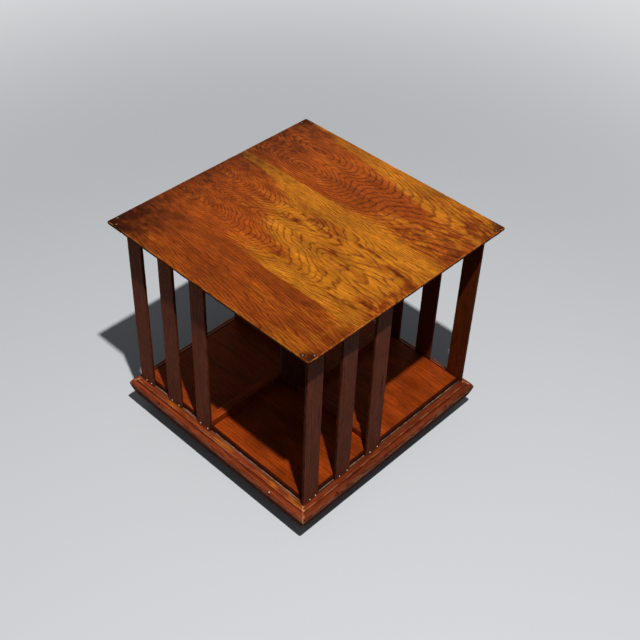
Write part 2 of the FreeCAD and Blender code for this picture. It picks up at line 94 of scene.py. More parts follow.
# %% From sRGB hex to linear colour
def linear(code):
    """The linear RGBA of an sRGB hex colour such as '#8a5a2b'."""
    screen = np.array([int(code[i:i + 2], 16) for i in (1, 3, 5)]) / 255
    light = np.where(screen <= 0.04045, screen / 12.92, ((screen + 0.055) / 1.055) ** 2.4)
    return (*light, 1.0)


print("amber varnish is", np.round(linear("#b06a1c"), 3))

# %% [markdown]
# ## Uneven things
# Nothing on an old piece is even: growth rings wander, arrises have dents. Value noise gives this
# kind of smooth randomness. Random heights stand on a lattice of whole numbers, and between them the
# surface follows an S-curve, so it has no corners. Octaves of it, each finer and lower, add detail.

# %% Smooth noise on arrays
def noise(u, v, seed, octaves=1):
    """Smooth random values from -1 to 1 at the lattice coordinates u, v.

    Between four lattice heights the value is mixed by 3t^2 - 2t^3 along u and along v. Each further
    octave doubles both coordinates and halves the height.
    """
    cells = 64
    total, height = 0.0, 1.0
    for octave in range(octaves):
        heights = np.random.default_rng(seed + octave).uniform(-1, 1, (cells, cells))
        i, j = np.floor(u).astype(int), np.floor(v).astype(int)
        s, t = u - i, v - j
        s, t = s * s * (3 - 2 * s), t * t * (3 - 2 * t)
        i0, i1, j0, j1 = i % cells, (i + 1) % cells, j % cells, (j + 1) % cells
        near = heights[i0, j0] * (1 - t) + heights[i0, j1] * t
        far = heights[i1, j0] * (1 - t) + heights[i1, j1] * t
        total = total + height * (near * (1 - s) + far * s)
        u, v, height = 2 * u, 2 * v, height / 2
    return total


def ramp(low, high, values):
    """0 below low, 1 above high, and the S-curve 3t^2 - 2t^3 between them."""
    t = np.clip((values - low) / (high - low), 0, 1)
    return t * t * (3 - 2 * t)


print("noise at three places:", np.round(noise(np.array([0.5, 1.5, 2.5]), np.zeros(3), 7), 2))

# %% [markdown]
# ## A surface becomes a piece
# Each surface below is an array of points with rows and columns. The columns close on themselves,
# round the section, and the rows run along the piece. Quads join neighbours, and one flat face closes
# each end. Numbers that a material will need, such as how near a point is to an arris, go along as
# attributes of the points. Where a row of points shrinks to one place, it is welded into one point.

# %% From a grid of points to a Blender object
def tube_faces(rows, columns):
    """Quads round and along a tube of rows x columns points, and a flat face at each end."""
    start = np.arange(rows - 1)[:, None] * columns
    here = np.arange(columns)[None, :]
    after = (here + 1) % columns
    further = start + columns
    quads = np.stack([start + here, start + after, further + after, further + here], -1)
    first = list(range(columns))[::-1]
    last = list(range((rows - 1) * columns, rows * columns))
    return quads.reshape(-1, 4).tolist() + [first, last]


SHARP = math.radians(50)    # edges sharper than this stay crisp
WELD = 0.01                 # mm: points nearer to each other than this are one


def add_object(name, data):
    """Puts a mesh, a lamp or a camera into the scene."""
    thing = bpy.data.objects.new(name, data)
    bpy.context.scene.collection.objects.link(thing)
    return thing


def add_piece(name, points, faces, material, body, node, numbers=None):
    """An object from points in mm, with its material and body, in place of the CAD node it replaces.
    """
    mesh = bpy.data.meshes.new(name)
    mesh.from_pydata((points.reshape(-1, 3) * MM).tolist(), [], faces)
    for key, values in (numbers or {}).items():
        vector = np.ndim(values) == points.ndim
        kind, field = ("FLOAT_VECTOR", "vector") if vector else ("FLOAT", "value")
        full = np.broadcast_to(values, points.shape if vector else points.shape[:-1])
        attribute = mesh.attributes.new(key, kind, "POINT")
        attribute.data.foreach_set(field, np.ascontiguousarray(full, dtype=np.float32).ravel())
    welded = bmesh.new()
    welded.from_mesh(mesh)
    bmesh.ops.remove_doubles(welded, verts=welded.verts, dist=WELD * MM)
    welded.to_mesh(mesh)
    welded.free()
    mesh.shade_smooth()
    mesh.set_sharp_from_angle(angle=SHARP)
    mesh.materials.append(material)
    piece = add_object(name, mesh)
    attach(piece, body)
    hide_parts(node)


print("a tube of 3 x 4 points has", len(tube_faces(3, 4)), "faces")

# %% [markdown]
# ## A bar with eased arrises
# A plane or sandpaper takes the sharp arris off a board, and years of hands round it further. A
# Bevel modifier could round all edges alike, but here the rounding itself is drawn: each point is a
# core point plus r times an outward direction. Towards an end the section shrinks along a quarter
# circle, so that the end's arris is as round as the long ones. A side that is glued to its neighbour
# stays flush: its outward direction has no sideways part.

# %% The section of an eased bar
CORNER_POINTS = 7           # round each corner


def eased_section(width, depth, radius, step, flush=()):
    """A rounded rectangle: core y, core z, outward y and outward z, going round, and its radius.

    The corner at an angle q has its core at (w/2 - r, d/2 - r) and the direction (cos q, sin q).
    flush names the sides, of -1 and 1, that are glued to a neighbour and keep sharp corners.
    """
    quarter = np.radians(np.linspace(0, 90, CORNER_POINTS))
    across = max(2, int(width / step))
    columns = []
    for sy, sz, turn in ((1, 1, 0), (-1, 1, 90), (-1, -1, 180), (1, -1, 270)):
        angle = quarter + math.radians(turn)
        out_y, out_z, core_y = np.cos(angle), np.sin(angle), sy * (width / 2 - radius)
        if sy in flush:
            out_y, out_z, core_y = np.zeros(1), np.full(1, float(sz)), sy * width / 2
        core_z = sz * (depth / 2 - radius)
        columns.append(np.stack(np.broadcast_arrays(core_y, core_z, out_y, out_z)))
        if sy == sz:        # the wide face above or below comes next
            y = np.linspace(1, -1, across) * sy * (width / 2 - 2 * radius)
            columns.append(np.stack(np.broadcast_arrays(y, core_z, 0, sz)))
    return np.concatenate(columns, axis=1), radius


slat_section = eased_section(31, 7, 1, 4)
print("the section of a 31 x 7 mm bar has", slat_section[0].shape[1], "points")

# %% The rows of an eased bar
END_ROWS = 6                # round each end


def eased_bar(length, section, step, seed, wear):
    """Points of a bar along x with rounded ends, and how near each is to an arris, from 0 to 1.

    Near an end the section is core + r sin(t) n at x = end - r (1 - cos(t)), t from 0 to 90 degrees.
    wear is how deep the worst dents in the arrises are, in millimetres.
    """
    (core_y, core_z, out_y, out_z), radius = section
    t = np.radians(np.linspace(0, 90, END_ROWS))
    middle = np.linspace(-1, 1, max(3, int(length / step)))[1:-1]
    shrink = np.concatenate([np.sin(t), np.ones(len(middle)), np.sin(t[::-1])])[:, None]
    inset = np.concatenate([1 - np.cos(t), np.zeros(len(middle)), 1 - np.cos(t[::-1])])[:, None]
    side = np.concatenate([-np.ones(len(t)), middle, np.ones(len(t))])[:, None]
    rounded = inset + (shrink < 1) > 0
    reach = np.where(rounded, length / 2 - radius * inset, length / 2 - 2 * radius)
    x = side * reach + 0 * core_y
    corner = np.abs(2 * out_y * out_z) * shrink
    end = np.where(shrink < 1, 1.0, 0.0) * np.hypot(out_y, out_z)
    arris = np.maximum(corner, end)
    dents = ramp(0.1, 0.9, noise(x / 7 + seed, core_y / 9 + core_z, seed, 3))
    cut = wear * dents * arris
    y = core_y + (radius * shrink - cut) * out_y
    z = core_z + (radius * shrink - cut) * out_z
    return np.stack([x, y, z], -1), arris


print("a bar of 100 mm has", len(eased_bar(100, slat_section, 4, 0, 0)[0]), "rows")

# %% [markdown]
# ## Nodes in one call each
# A material is a graph. Written out, each node takes several lines: make it, set it, link it. This
# helper does all of it in one call. Values go to the node's sockets in their order, and a value that
# is itself a node is linked by its first output.

# %% One helper to add a node
def add(tree, kind, settings=None, *values, **named):
    """Adds a node with its settings; fills its sockets in order, then by name (_ for a space).

    kind is the name of the node's class, less its first part, ShaderNode.
    """
    node = tree.nodes.new("ShaderNode" + kind)
    for key, value in (settings or {}).items():
        setattr(node, key, value)
    ordered = zip([socket for socket in node.inputs if socket.enabled], values)
    by_name = ((node.inputs[key.replace("_", " ")], value) for key, value in named.items())
    for socket, value in (*ordered, *by_name):
        if isinstance(value, bpy.types.Node):
            value = next(output for output in value.outputs if output.enabled)
        if isinstance(value, bpy.types.NodeSocket):
            tree.links.new(value, socket)
        else:
            socket.default_value = value
    return node


def new_material(name):
    """A material and its empty tree."""
    material = bpy.data.materials.new(name)
    material.use_nodes = True
    material.node_tree.nodes.clear()
    return material, material.node_tree


PLUS, TIMES, TIMES_PLUS = ({"operation": key} for key in ("ADD", "MULTIPLY", "MULTIPLY_ADD"))
SMOOTH = {"interpolation_type": "SMOOTHSTEP"}
MIX, TINT = {"data_type": "RGBA"}, {"data_type": "RGBA", "blend_type": "MULTIPLY"}
print("from here on, each node takes one call")

# %% [markdown]
# ## Oak
# Oak is ring-porous: each spring it lays down a band of wide vessels, which a saw opens as short
# dark dashes along the grain, and each summer a band of dense smooth wood. So one yearly ring shows
# as a band of dark dashes and then a clear band. The material asks two things of a point: where it
# is in the log, in millimetres along, across and through the grain, and how many millimetres of rings
# lie inside it. New pieces bring both as attributes; CAD pieces get them from Object coordinates.

# %% Where a point lies in the log
# For each noise: mm along the grain, mm across it, a seed, and its detail.
STREAKS = {
    "drift": (260, 30, 8.3, 1.0),       # rings wander over a whole board
    "wander": (40, 6, 3.1, 2.0),        # and waver within a hand's width
    "jitter": (16, 1.7, 5.7, 2.0),
    "gaps": (50, 10, 1.9, 2.0),         # where a porous band is faint
    "pores": (8, 0.8, 2.3, 3.0),        # twice as wide as real pores, so that they show
    "fibre": (34, 1.3, 6.1, 2.0),
    "fleck": (11, 1.6, 4.4, 2.0),
    "cloud": (70, 26, 6.6, 4.0),        # uneven stain and varnish
    "smear": (13, 6, 9.2, 4.0),         # dirt, and the edge of painted shade
    "rub": (9, 4, 7.7, 4.0),            # patchy wear
}
RING_MOVES = {"wander": 2.2, "jitter": 0.8}     # mm by which a noise moves the rings
CAD_RING_MOVES = {"drift": 26.0, **RING_MOVES}  # a CAD piece's rings start straight and need more


def log_fields(tree, turn):
    """The ring distance in mm and the noises of STREAKS, each stretched along the grain."""
    if turn is None:
        place = add(tree, "Attribute", {"attribute_name": "grain"}).outputs["Vector"]
        ring = add(tree, "Attribute", {"attribute_name": "ring"}).outputs["Fac"]
    else:
        where = add(tree, "TexCoord").outputs["Object"]
        angles = tuple(math.radians(angle) for angle in turn)
        place = add(tree, "Mapping", None, where, Rotation=angles, Scale=(1 / MM,) * 3)
        parts = add(tree, "SeparateXYZ", None, place)
        ring = add(tree, "Math", PLUS, parts.outputs[1], parts.outputs[2])
    fields = {}
    for key, (along, across, seed, detail) in STREAKS.items():
        cell, shift = (1 / along, 1 / across, 1 / across), (seed, 0.7 * seed, 1.3 * seed)
        moved = add(tree, "VectorMath", TIMES_PLUS, place, cell, shift)
        fields[key] = add(tree, "TexNoise", None, moved, Scale=1.0, Detail=detail, Roughness=0.55)
    for key, height in (RING_MOVES if turn is None else CAD_RING_MOVES).items():
        ring = add(tree, "Math", TIMES_PLUS, fields[key], height, ring)
    return ring, fields


print("oak has", len(STREAKS), "noises")

# %% Rings and pores
BAND_STARTS, BAND_ENDS = (0.56, 0.88), (0.92, 1.0)      # shares of a ring
GAPS, FAINTEST = (0.3, 0.55), 0.45                      # where a band is faint, and how faint
PORE_EDGE, CROWDING = (0.585, 0.655), 0.15              # above this edge a pore opens


def rings_and_pores(tree, ring, fields, ring_mm):
    """How porous the wood is, from 0 to 1, and the open pores, which crowd in the porous band.

    The band fades in over the last half of its ring and ends sharply where the next ring starts.
    Where the noise "gaps" is low it is faint.
    """
    count = add(tree, "Math", {"operation": "DIVIDE"}, ring, ring_mm)
    phase = add(tree, "Math", {"operation": "FRACT"}, count)
    rise = add(tree, "MapRange", SMOOTH, phase, *BAND_STARTS)
    fall = add(tree, "MapRange", SMOOTH, phase, *BAND_ENDS, 1.0, 0.0)
    shown = add(tree, "MapRange", SMOOTH, fields["gaps"], *GAPS, FAINTEST, 1.0)
    band = add(tree, "Math", TIMES, add(tree, "Math", TIMES, rise, fall), shown)
    crowd = add(tree, "Math", TIMES_PLUS, band, CROWDING, fields["pores"])
    return band, add(tree, "MapRange", SMOOTH, crowd, *PORE_EDGE)


print("the porous band starts at", BAND_STARTS[0], "of a ring")

# %% Stain, grime, painted shade and wear
GRIME_AND_SHADE = "#200c0b"           # old wax and dust in the low places, and painted shade in recesses and under things
SMEARS = 0.6                # how much the noise "smear" breaks the edge of the grime and of the painted shade
DARKENING, DARKEST = (0.5, 1.2), 0.92      # where grime and painted shade start and are full, and how dense they are there
RUBBED = (0.4, 0.62)        # where the noise "rub" starts and is full


def by_distance(tree, *spans):
    """How far a CAD piece's point is into each span, from 0 to its strength.

    A span is (from, to, strength), in millimetres from the case's axis along X or Y, the larger.
    """
    where = add(tree, "TexCoord").outputs["Object"]
    parts = add(tree, "SeparateXYZ", None, where)
    x, y = (add(tree, "Math", {"operation": "ABSOLUTE"}, parts.outputs[axis]) for axis in (0, 1))
    reach = add(tree, "Math", {"operation": "MAXIMUM"}, x, y)
    return [add(tree, "MapRange", SMOOTH, reach, start * MM, end * MM, 0.0, strength)
            for start, end, strength in spans]


def old_surface(tree, colour, fields, mottle, streak, turn, wear, dirt_and_shade):
    """The colour after years of use and with painted shade, how rubbed it is, and how far grime and
    painted shade darken it.
    """
    tone = 1.0
    for key, low, high, swing in (("fibre", 0.25, 0.75, streak), ("cloud", 0.3, 0.7, mottle),
                                  ("fleck", 0.3, 0.7, streak / 2)):
        more = add(tree, "MapRange", SMOOTH, fields[key], low, high, 1 - swing, 1 + swing)
        tone = add(tree, "Math", TIMES, more, tone)
    if turn is None:
        own, grime_and_shade, arris = (add(tree, "Attribute", {"attribute_name": key}).outputs["Fac"]
                             for key in ("tone", "grime_and_shade", "arris"))
        tone = add(tree, "Math", TIMES, tone, own)
    else:
        arris, grime_and_shade = by_distance(tree, wear, dirt_and_shade)
    grey = add(tree, "CombineXYZ", None, tone, tone, tone)
    colour = add(tree, "Mix", TINT, 1.0, colour, grey)
    smeared = add(tree, "Math", TIMES_PLUS, fields["smear"], SMEARS, grime_and_shade)
    soiled_and_shaded = add(tree, "MapRange", SMOOTH, smeared, *DARKENING, 0.0, DARKEST)
    colour = add(tree, "Mix", MIX, soiled_and_shaded, colour, linear(GRIME_AND_SHADE))
    patches = add(tree, "MapRange", SMOOTH, fields["rub"], *RUBBED)
    rub = add(tree, "Math", {**TIMES, "use_clamp": True}, arris, patches)
    return colour, rub, soiled_and_shaded


print("dirt is", np.round(linear(GRIME_AND_SHADE), 3))

# %% The oak material
OAK_IOR = 1.5               # wood fibre and old varnish are both close to 1.5
AMBER = "#d8955a"           # shellac tints what it mirrors
NOWHERE = (900.0, 901.0, 0.0)           # wear, dirt or painted shade that starts outside every piece
SAP_AND_SHADE_EDGE = {"wander": 1.2, "fibre": 0.8, "cloud": 1.0}  # the noises that fray the edge of the sapwood, and of the painted shade on the slats' inner faces
FRAYED = sum(SAP_AND_SHADE_EDGE.values()) / 2     # what they add on average, as each is about 0.5
PORE_SHARE = 0.5            # how much of a pore's dark colour shows through the varnish
PORE_DEEP, BAND_DEEP = -0.7, -0.25      # open pores and the porous band lie lower
RELIEF_MM = 0.12            # how deep they look


def oak(name, clear, porous, pore, worn, ring_mm=3.0, mottle=0.2, rough=0.5, gloss=0.06,
        streak=0.28, sap_and_shade=None, turn=None, wear=NOWHERE, dirt_and_shade=NOWHERE):
    """Oak in hex colours for the clear and the porous band, the pores and the bare wood of an arris.

    A second pair of colours, if given, shows where the attribute of the same name nears 1: paler
    sapwood on the top and the moulding, and painted shade on the inner faces of the slats. mottle and
    streak are how much the clouds and the fibres change the tone. gloss is the specular level, where
    0.5 is clean varnish. turn lays a CAD piece's grain along X, in degrees.
    """
    material, tree = new_material(name)
    ring, fields = log_fields(tree, turn)
    band, pores = rings_and_pores(tree, ring, fields, ring_mm)
    colour = add(tree, "Mix", MIX, band, linear(clear), linear(porous))
    if sap_and_shade:
        pale = add(tree, "Mix", MIX, band, linear(sap_and_shade[0]), linear(sap_and_shade[1]))
        share = add(tree, "Attribute", {"attribute_name": "sap_and_shade"}).outputs["Fac"]
        for key, height in SAP_AND_SHADE_EDGE.items():
            share = add(tree, "Math", TIMES_PLUS, fields[key], height, share)
        share = add(tree, "MapRange", SMOOTH, share, FRAYED, FRAYED + 1)
        colour = add(tree, "Mix", MIX, share, colour, pale)
    colour, rub, soiled_and_shaded = old_surface(tree, colour, fields, mottle, streak, turn, wear, dirt_and_shade)
    shown = add(tree, "Math", TIMES, pores, PORE_SHARE)
    colour = add(tree, "Mix", MIX, shown, colour, linear(pore))
    colour = add(tree, "Mix", MIX, rub, colour, linear(worn))
    matt = rough
    for dull, more in ((pores, 0.18), (rub, 0.15), (soiled_and_shaded, 0.6)):      # each takes gloss away
        matt = add(tree, "Math", {**TIMES_PLUS, "use_clamp": True}, dull, more, matt)
    relief = add(tree, "Math", TIMES_PLUS, pores, PORE_DEEP, fields["gaps"])
    relief = add(tree, "Math", TIMES_PLUS, band, BAND_DEEP, relief)
    bump = add(tree, "Bump", None, Strength=0.6, Distance=RELIEF_MM * MM, Height=relief)
    shader = add(tree, "BsdfPrincipled", None, Base_Color=colour, Roughness=matt,
                 IOR=OAK_IOR, Specular_IOR_Level=gloss, Specular_Tint=linear(AMBER), Normal=bump)
    add(tree, "OutputMaterial", None, shader)
    return material


# Flat-sawn oak under many coats of old shellac: deep amber, soft gloss, red heart, golden sap.
top_oak = oak("varnished_flat_sawn_oak", "#96420f", "#6c2d0b", "#4a210b", "#a5642f", ring_mm=4.0,
              mottle=0.16, rough=0.34, sap_and_shade=("#ae6716", "#8f4e12"))
print("made", top_oak.name)

# %% [markdown]
# ## Where the nails are
# Small steel brads hold the case together. The CAD keeps like nails in one node as separate solids,
# so its points split into equal shares, one for each nail. The longest side of a share is the nail's
# axis, and its end further from the middle of the case is the head. They are found first, because
# the acid in oak turns iron black: every head sits in a small dark stain in the wood.

# %% Heads of the nails, and the stain round them
def nail_heads(node, count):
    """For each nail of a node: the middle of its head's outer face and the direction it faces."""
    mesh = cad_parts[node].data
    flat = np.empty(3 * len(mesh.vertices), np.float32)
    mesh.vertices.foreach_get("co", flat)
    shares = flat.reshape(count, -1, 3) / MM
    low, high = shares.min(1), shares.max(1)
    middle = (low + high) / 2
    row, axis = np.arange(count), np.argmax(high - low, axis=1)
    sign = np.sign((middle - [0.0, 0.0, TOP_Z / 2])[row, axis])
    facing, head = np.zeros((count, 3)), middle + 0.0
    facing[row, axis] = sign
    head[row, axis] = np.where(sign > 0, high[row, axis], low[row, axis])
    return head, facing


NAILS = {node: nail_heads(node, count) for node, count in
         (("slat_nails", 48), ("corner_nails", 8), ("moulding_nails", 8), ("cleat_nails", 6))}


def iron_stain(points, node, reach):
    """1 at the nails of a node, falling as exp(-(distance / reach)^2)."""
    away = np.linalg.norm(points[..., None, :] - NAILS[node][0], axis=-1).min(-1)
    return np.exp(-(away / reach) ** 2)


print(sum(len(head) for head, _ in NAILS.values()), "nails")

# %% [markdown]
# ## The figure of the top
# The top is glued up from three flat-sawn boards. In a flat cut, a ring shows where its distance from
# the pith equals the ring's radius. The pith runs some way below the face, and that depth changes
# along the board, because a trunk tapers and bends. Where the depth is least the rings close to
# nested eyes, and away from there they open to arrows. Two bends of one trunk melt into each other
# by a soft minimum. Pale sapwood lies near the bark, so it shows along the edges and on the right.

# %% How a saw cuts through the rings
def flat_cut(x, y, heart, blunt, slope, length):
    """Distance from the pith: sqrt(dy^2 + blunt^2 + (slope L tanh(dx / L))^2).

    The pith is nearest at the place `heart`, where it lies `blunt` deep. From there it sinks by
    `slope`, less and less, over about `length` millimetres.
    """
    sunk = slope * length * np.tanh((x - heart[0]) / length)
    return np.sqrt((y - heart[1]) ** 2 + blunt ** 2 + sunk ** 2)


def aged(depth, old=22, change=8, extra=0.4):
    """An old tree grows narrower rings: beyond `old` mm, each mm of depth counts 1 + extra times.

    The count changes over about `change` mm, as extra c ln(1 + exp((depth - old) / c)).
    """
    return depth + extra * change * np.logaddexp(0, (depth - old) / change)


def soft_minimum(first, second, width):
    """The smaller of two values, with the crease between them rounded over `width`."""
    near = np.clip(0.5 + 0.5 * (second - first) / width, 0, 1)
    return second * (1 - near) + first * near - width * near * (1 - near)


def waves(x, y, seed):
    """The slow waves and the small zigzag that the rings of every board have, a millimetre high."""
    return 1.3 * noise(x / 60, y / 11, seed) + 0.6 * noise(x / 18, y / 4.5, seed + 5)


print("60 mm from the pith count as", round(float(aged(60.0)), 1))

# %% Rings and sapwood of the three boards
CLEAR_EYE = 3.0             # mm taken off the count, so that the middle of an eye is clear wood


def back_board(x, y):
    """Two eyes near the left end, and sapwood along the back edge and over the right half."""
    upper = flat_cut(x, y, heart=(-110, 137), blunt=8, slope=0.36, length=190)
    lower = flat_cut(x, y, heart=(-98, 94), blunt=8, slope=0.44, length=180)
    rings = aged(soft_minimum(upper, lower, 9)) - CLEAR_EYE + waves(x, y, 11)
    edge = 181 - 0.16 * (x + TOP_HALF) + 5 * noise(x / 60, y / 30, 21)
    tongue = 116 - 0.075 * (y - 125) ** 2 + 16 * noise(x / 30, y / 9, 22, 2)
    second = 56 - 0.06 * (y - 92) ** 2 + 20 * noise(x / 30, y / 9, 23, 2)
    right = 0.6 * ramp(-40, 40, x - np.maximum(tongue, second))
    return rings, np.maximum(0.85 * ramp(-7, 7, y - edge), right)


def middle_board(x, y):
    """Two blunt arrows that melt into each other, a pale strip at the back and a pale right half."""
    upper = flat_cut(x, y, heart=(-210, 2), blunt=10, slope=0.35, length=200)
    lower = flat_cut(x, y, heart=(-190, -66), blunt=10, slope=0.33, length=220)
    bend = 4 * noise(x / 33, y / 15, 35)
    rings = 1.5 * aged(soft_minimum(upper, lower, 12)) + 1.5 * waves(x, y, 31) + bend
    strip = ramp(-4, 4, y - (47 - 0.11 * (x + TOP_HALF)) + 4 * noise(x / 50, y / 20, 41))
    tongue = 66 * np.exp(-((y + 63) / 13) ** 2)
    bound = -52 + tongue - 0.55 * (y + 20) + 16 * noise(x / 30, y / 10, 42, 2)
    return rings, np.maximum(strip, 0.9 * ramp(-60, 50, x - bound))


def front_board(x, y):
    """Long waves that lean forward, all heartwood but for a little at the right."""
    depth = flat_cut(x, y, heart=(-330, -232), blunt=30, slope=0.2, length=900)
    right = 0.45 * ramp(40, 190, x + 14 * noise(x / 25, y / 8, 61))
    return aged(depth) + 2 * waves(x, y, 51), right + 0.3 * ramp(5 - TOP_HALF, -TOP_HALF, y)


print("the middle of the back board lies", round(float(back_board(0.0, 120.0)[0]), 1), "mm out")

# %% [markdown]
# Age gives each board darker places: smudges where the stain took deeper, hands that wore and soiled
# the left edge, damp at the corners. A smudge is a soft oval, drawn out along the grain, and its
# outline is broken by noise so that it never looks stamped.

# %% Smudges and a darker left
# Each smudge: x and y of its middle, half its length and half its width, in mm, and its strength.
SMUDGES = (
    (5, 13, 30, 8, 0.6), (44, 4, 20, 7, 0.6), (-24, -4, 22, 11, 0.5), (92, 17, 26, 3, 0.8),
    (148, 10, 28, 4, 0.8), (178, 3, 12, 5, 0.8), (150, 122, 26, 7, 0.7), (172, 88, 18, 18, 0.8),
    (30, 90, 40, 22, 0.3), (120, 80, 30, 14, 0.6), (160, -62, 18, 8, 0.8), (116, -78, 12, 6, 0.7),
    (165, 150, 36, 14, 0.7), (140, 172, 30, 6, 0.5), (120, 108, 26, 6, 0.6), (60, -20, 18, 4, 0.5),
    (110, -118, 40, 6, 0.5), (150, -140, 34, 6, 0.5), (90, -30, 30, 4, 0.4), (176, -40, 10, 30, 0.6),
    (-60, -152, 60, 12, 0.2), (-176, 40, 12, 90, 0.3))
FRONT_JOINT = box_mm("top_board_front")[1][1]


def smudged(x, y):
    """Sum of strength exp(-(dx/a)^2 - (dy/b)^2), times 1 and a strong fine noise, from 0 to 1."""
    cx, cy, a, b, strength = np.array(SMUDGES, float).T
    far = ((x[..., None] - cx) / a) ** 2 + ((y[..., None] - cy) / b) ** 2
    ovals = (strength * np.exp(-far)).sum(-1)
    return np.clip(ovals * (1 + 1.5 * noise(x / 9, y / 3.5, 74, 3)), 0, 1)


def board_tone(x, y):
    """How light each place is: 1 and a little noise, darker to the left and on the front board."""
    left = ramp(-60, -TOP_HALF, x)
    mottled = (1 + 0.14 * noise(x / 42, y / 11, 75, 2)
               + (0.14 + 0.3 * left) * noise(x / 9, y / 4.5, 76, 2))
    edges = (1 - 0.4 * ramp(-90, -TOP_HALF, x)) * (1 - 0.15 * ramp(TOP_HALF - 25, TOP_HALF, x))
    return mottled * edges * (1 - 0.2 * ramp(FRONT_JOINT + 2, FRONT_JOINT - 1, y))


print(len(SMUDGES), "smudges on the top")

# %% Grime and painted shade on the top
NAIL_STAIN = 5.0            # mm: the stains in the top are the widest


def board_grime_and_shade(points):
    """Grime along the left edge, at the corners and round the nails, and painted shade down the
    board's own edges and on its underside.
    """
    x, y, z = np.moveaxis(points, -1, 0)
    left = 0.42 * ramp(40, 0, x + TOP_HALF + 9 * noise(x / 12, y / 22, 71, 2))
    front = 0.3 * ramp(14, 0, y + TOP_HALF + 5 * noise(x / 22, y / 9, 70, 2))
    corner = np.hypot(TOP_HALF - np.abs(x), TOP_HALF - np.abs(y))
    corner = corner * np.where((x < 0) & (y < 0), 0.3, 0.9)     # the front left corner is the darkest
    corners = 0.86 * ramp(38, -2, corner + 5 * noise(x / 12, y / 8, 72, 3))
    # Painted shade: everything below the top face, the boards' edges and underside, is darkened.
    below = 0.85 * ramp(TOP_Z - 0.8, TOP_Z - 1.8, z)
    stain = iron_stain(points, "corner_nails", NAIL_STAIN)
    return np.maximum.reduce([left, front, corners, below, stain])


print("grime in the middle of the top:", board_grime_and_shade(np.array([0.0, 0.0, TOP_Z])).round(2))

# %% [markdown]
# The boards themselves are eased bars along X. Old boards are never flat: they crown by a tenth of a
# millimetre or two, which the varnish shows as wandering highlights. The crown is one function of the
# place, so neighbours still meet at the glue lines. It only takes wood away, so the top stays in its
# box.

# %% The three boards of the top
BOARD_STEP = 1.6            # mm between points: fine enough to carry the figure
TOP_RADIUS = 1.4            # the rounding of the top's worn arris
CROWN = 0.14                # how much the upper face wanders below its highest points

for part, figure, flush in (("back", back_board, (-1,)), ("middle", middle_board, (-1, 1)),
                            ("front", front_board, (1,))):
    low, high = box_mm("top_board_" + part)
    size, centre = high - low, (high + low) / 2
    section = eased_section(size[1], size[2], TOP_RADIUS, BOARD_STEP, flush)
    points, arris = eased_bar(size[0], section, BOARD_STEP, seed=3, wear=0.45)
    points = points + centre
    x, y, z = np.moveaxis(points, -1, 0)
    ring, sap_and_shade = figure(x, y)
    smudge = smudged(x, y)
    above = ramp(centre[2], high[2], z)
    numbers = {"grain": points + 0.0, "ring": ring,
               "sap_and_shade": sap_and_shade - 0.9 * smudge - 0.4 * ramp(TOP_HALF - 20, TOP_HALF, x),
               "tone": board_tone(x, y) * (1 - 0.4 * smudge),
               "grime_and_shade": board_grime_and_shade(points), "arris": arris * above}
    points[..., 2] = z - CROWN * above * (0.5 + 0.5 * noise(x / 55, y / 28, 81, 2))
    add_piece("top_" + part, points, tube_faces(*points.shape[:2]), top_oak, "case",
              "top_board_" + part, numbers)
    print("top_" + part, points.shape[0] * points.shape[1], "points")

# %% [markdown]
# ## Slats and battens
# The slats are thin strips with their grain upright, stained dark and never polished. The battens on
# the floor part the four bays. Each is an eased bar again. Its long axis, width and thickness are
# read from its CAD box, and a seed of its own gives it other rings and dents than its neighbours.

# %% Bars in the places of CAD pieces
SIDE_TONE = {"front": 1.0, "right": 0.7, "back": 0.8, "left": 0.9}  # some sides took the stain deeper
ACROSS_STEP, ALONG_STEP = 2.5, 4.0      # mm between points: a slim bar has no figure to carry
DENTS = 0.3                 # mm: the deepest dents in its arrises
BRAD_STAIN = 2.6            # mm
NEXT_CUT = np.array([311.0, 37.0, 11.0])        # mm: each bar is cut from another place in the log


def bar_piece(name, node, along, across, radius, seed, material, wear):
    """An eased bar in the place of a CAD node, its length and its width along the axes given."""
    low, high = box_mm(node)
    size, centre = high - low, (high + low) / 2
    axes = np.array([along, across, np.cross(along, across)], float)
    length, width, depth = np.abs(axes @ size)
    section = eased_section(width, depth, radius, ACROSS_STEP)
    local, arris = eased_bar(length, section, ALONG_STEP, seed, DENTS)
    points = centre + local @ axes
    u, v, w = np.moveaxis(local, -1, 0)
    ring = v + 0.6 * w + 5 * noise(u / 130 + seed, v / 12, seed)
    # Each bar is darker towards both ends, most at its foot.
    ends = 0.55 * ramp(14, 0, u + length / 2) + 0.3 * ramp(10, 0, length / 2 - u)
    # Painted shade: the narrow side faces of each bar are darkened.
    sides = 0.5 * ramp(width / 2 - 0.9, width / 2 - 0.2, np.abs(v))
    stain = iron_stain(points, "slat_nails", BRAD_STAIN)
    inward = -np.sign(axes[2] @ centre)
    numbers = {"grain": local + NEXT_CUT * seed, "ring": ring,
               # The inner half of each bar gets its material's second colours: on the slats that is
               # painted shade, for the dark inside of the case.
               "sap_and_shade": ramp(0, depth / 2, inward * w),
               "tone": SIDE_TONE[node.split("_")[1]] * (1 + 0.08 * math.sin(seed)),
               "grime_and_shade": np.maximum.reduce([ends, sides, stain]), "arris": wear * arris}
    add_piece(name, points, tube_faces(*points.shape[:2]), material, "case", node, numbers)


